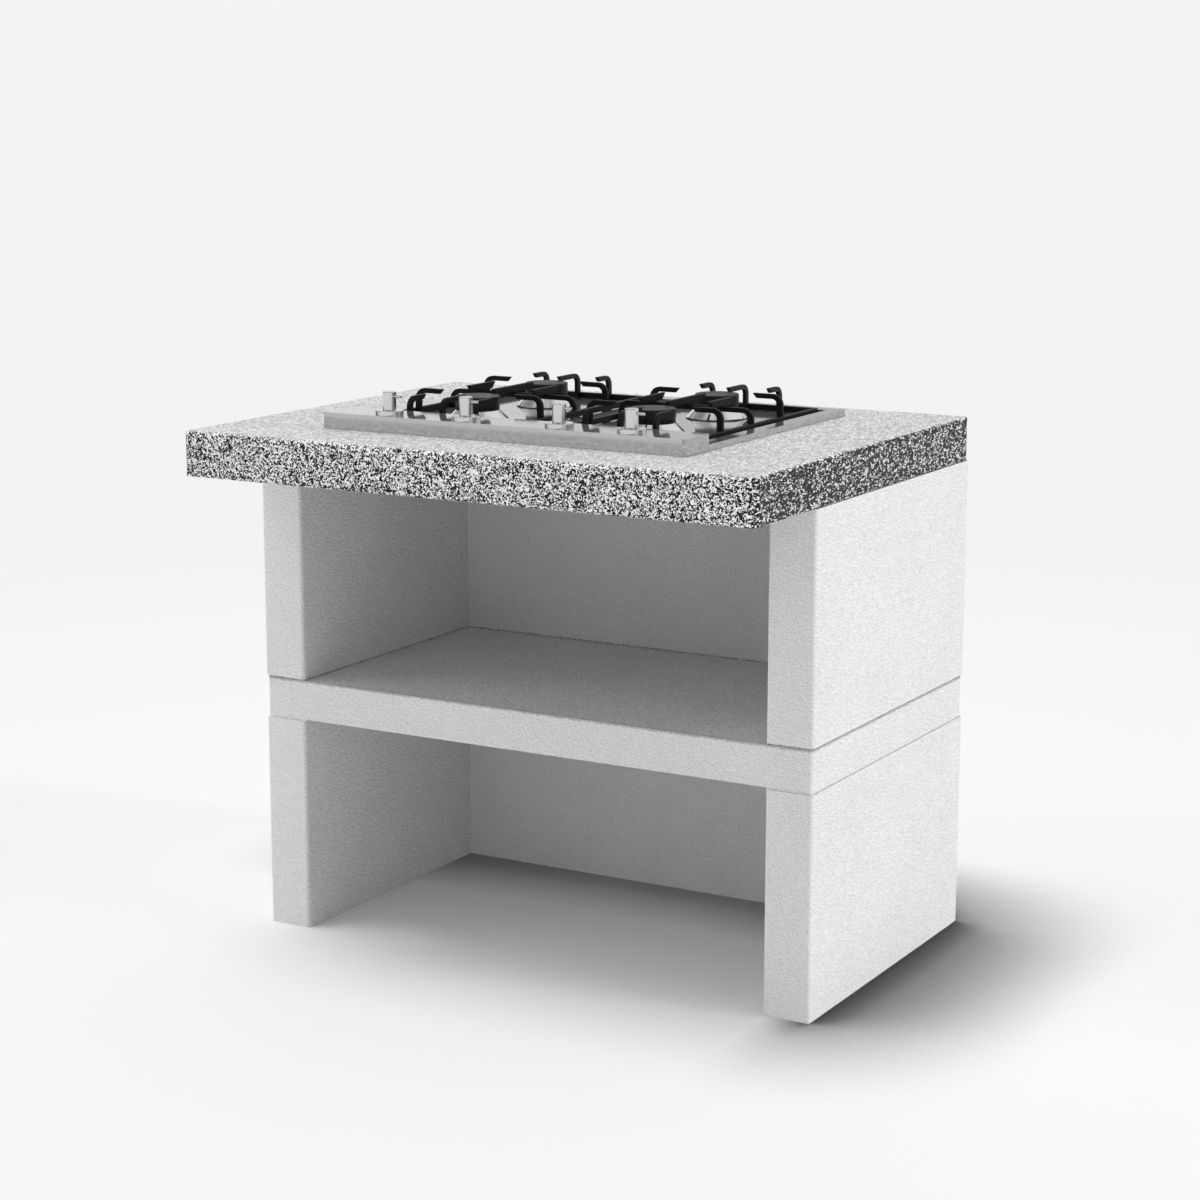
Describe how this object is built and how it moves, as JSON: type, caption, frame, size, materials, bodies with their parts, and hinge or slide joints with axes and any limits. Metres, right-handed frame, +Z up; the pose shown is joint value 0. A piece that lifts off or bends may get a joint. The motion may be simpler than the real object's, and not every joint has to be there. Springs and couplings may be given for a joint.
{
  "type": "outdoor kitchen burner module",
  "caption": "White masonry outdoor kitchen unit with open shelves, a speckled worktop and a built-in gas hob with push-and-turn knobs and lift-off pan supports.",
  "frame": {"origin": "middle of the footprint of the whole module on the floor", "axes": "+X to the right seen from the front, +Y to the back wall, +Z up"},
  "size_m": [0.9, 0.7, 0.826],
  "materials": {
    "render_white": "fine white plaster",
    "mortar": "raked grey mortar",
    "terrazzo": "polished black and white terrazzo",
    "foam": "closed-cell foam",
    "hob_steel": "satin stainless steel",
    "zinc_steel": "zinc-coated sheet",
    "screw_steel": "zinc-coated",
    "brass": "turned brass",
    "tube": "drawn aluminium tube",
    "burner_alloy": "die-cast aluminium",
    "burner_ring": "black anodised",
    "polished": "mirror polished",
    "black_enamel": "satin black enamel",
    "black_iron": "black enamelled bars",
    "foot_rubber": "matt",
    "white_ceramic": "glazed",
    "module_plastic": "moulded housing",
    "lead_rubber": "silicone sheath",
    "spring_steel": "spring wire"
  },
  "bodies": {
    "base": {"lower_unit": "render_white", "lower_joint": "mortar", "shelf_slab": "render_white", "upper_joint": "mortar", "upper_unit": "render_white", "worktop": "terrazzo", "hob_seal": "foam", "hob_top": "hob_steel", "burner_box": "zinc_steel", "box_screws": "screw_steel", "hob_clamps": "zinc_steel", "clamp_screws": "screw_steel", "gas_manifold": "tube", "manifold_brackets": "zinc_steel", "inlet_elbow": "brass", "gas_taps": "brass", "feed_tubes": "tube", "injectors": "brass", "burner_bodies": "burner_alloy", "burner_screws": "screw_steel", "burner_skirts": "polished", "electrodes": "white_ceramic", "ignition_module": "module_plastic", "ignition_leads": "lead_rubber", "knob_bezels": "polished", "skirt_seals": "foot_rubber", "tap_spring_front_left": "spring_steel", "tap_spring_back_left": "spring_steel", "tap_spring_back_right": "spring_steel", "tap_spring_front_right": "spring_steel"},
    "push_front_left": {"tap_plunger_front_left": "brass"},
    "control_front_left": {"tap_spindle_front_left": "brass", "knob_front_left": "polished", "knob_lever_front_left": "polished"},
    "push_back_left": {"tap_plunger_back_left": "brass"},
    "control_back_left": {"tap_spindle_back_left": "brass", "knob_back_left": "polished", "knob_lever_back_left": "polished"},
    "push_back_right": {"tap_plunger_back_right": "brass"},
    "control_back_right": {"tap_spindle_back_right": "brass", "knob_back_right": "polished", "knob_lever_back_right": "polished"},
    "push_front_right": {"tap_plunger_front_right": "brass"},
    "control_front_right": {"tap_spindle_front_right": "brass", "knob_front_right": "polished", "knob_lever_front_right": "polished"},
    "crown_front_left": {"burner_crown_front_left": "burner_ring"},
    "cap_front_left": {"burner_cap_front_left": "black_enamel"},
    "crown_back_left": {"burner_crown_back_left": "burner_ring"},
    "cap_back_left": {"burner_cap_back_left": "black_enamel"},
    "crown_back_right": {"burner_crown_back_right": "burner_ring"},
    "cap_back_right": {"burner_cap_back_right": "black_enamel"},
    "crown_front_right": {"burner_crown_front_right": "burner_ring"},
    "cap_front_right": {"burner_cap_front_right": "black_enamel"},
    "support_left": {"pan_support_left": "black_iron", "support_fingers_left": "black_iron", "support_feet_left": "foot_rubber"},
    "support_right": {"pan_support_right": "black_iron", "support_fingers_right": "black_iron", "support_feet_right": "foot_rubber"}
  },
  "joints": [
    {"name": "push_knob_front_left", "type": "slide", "parent": "base", "child": "push_front_left", "axis": [0, 0, -1], "range_m": [0, 0.003], "stiffness_N_per_m": 1500, "springref_m": -0.003, "deforming": ["tap_spring_front_left"]},
    {"name": "turn_knob_front_left", "type": "hinge", "parent": "push_front_left", "child": "control_front_left", "pos_m": [-0.191, -0.212, 0.8], "axis": [0, 0, 1], "range_deg": [0, 210]},
    {"name": "push_knob_back_left", "type": "slide", "parent": "base", "child": "push_back_left", "axis": [0, 0, -1], "range_m": [0, 0.003], "stiffness_N_per_m": 1500, "springref_m": -0.003, "deforming": ["tap_spring_back_left"]},
    {"name": "turn_knob_back_left", "type": "hinge", "parent": "push_back_left", "child": "control_back_left", "pos_m": [-0.064, -0.212, 0.8], "axis": [0, 0, 1], "range_deg": [0, 210]},
    {"name": "push_knob_back_right", "type": "slide", "parent": "base", "child": "push_back_right", "axis": [0, 0, -1], "range_m": [0, 0.003], "stiffness_N_per_m": 1500, "springref_m": -0.003, "deforming": ["tap_spring_back_right"]},
    {"name": "turn_knob_back_right", "type": "hinge", "parent": "push_back_right", "child": "control_back_right", "pos_m": [0.085, -0.212, 0.8], "axis": [0, 0, 1], "range_deg": [0, 210]},
    {"name": "push_knob_front_right", "type": "slide", "parent": "base", "child": "push_front_right", "axis": [0, 0, -1], "range_m": [0, 0.003], "stiffness_N_per_m": 1500, "springref_m": -0.003, "deforming": ["tap_spring_front_right"]},
    {"name": "turn_knob_front_right", "type": "hinge", "parent": "push_front_right", "child": "control_front_right", "pos_m": [0.197, -0.212, 0.8], "axis": [0, 0, 1], "range_deg": [0, 210]},
    {"name": "lift_crown_front_left", "type": "slide", "parent": "base", "child": "crown_front_left", "axis": [0, 0, 1], "range_m": [0, 0.05]},
    {"name": "lift_cap_front_left", "type": "slide", "parent": "crown_front_left", "child": "cap_front_left", "axis": [0, 0, 1], "range_m": [0, 0.03]},
    {"name": "lift_crown_back_left", "type": "slide", "parent": "base", "child": "crown_back_left", "axis": [0, 0, 1], "range_m": [0, 0.05]},
    {"name": "lift_cap_back_left", "type": "slide", "parent": "crown_back_left", "child": "cap_back_left", "axis": [0, 0, 1], "range_m": [0, 0.03]},
    {"name": "lift_crown_back_right", "type": "slide", "parent": "base", "child": "crown_back_right", "axis": [0, 0, 1], "range_m": [0, 0.05]},
    {"name": "lift_cap_back_right", "type": "slide", "parent": "crown_back_right", "child": "cap_back_right", "axis": [0, 0, 1], "range_m": [0, 0.03]},
    {"name": "lift_crown_front_right", "type": "slide", "parent": "base", "child": "crown_front_right", "axis": [0, 0, 1], "range_m": [0, 0.05]},
    {"name": "lift_cap_front_right", "type": "slide", "parent": "crown_front_right", "child": "cap_front_right", "axis": [0, 0, 1], "range_m": [0, 0.03]},
    {"name": "lift_support_left", "type": "slide", "parent": "base", "child": "support_left", "axis": [0, 0, 1], "range_m": [0, 0.08]},
    {"name": "lift_support_right", "type": "slide", "parent": "base", "child": "support_right", "axis": [0, 0, 1], "range_m": [0, 0.08]}
  ]
}
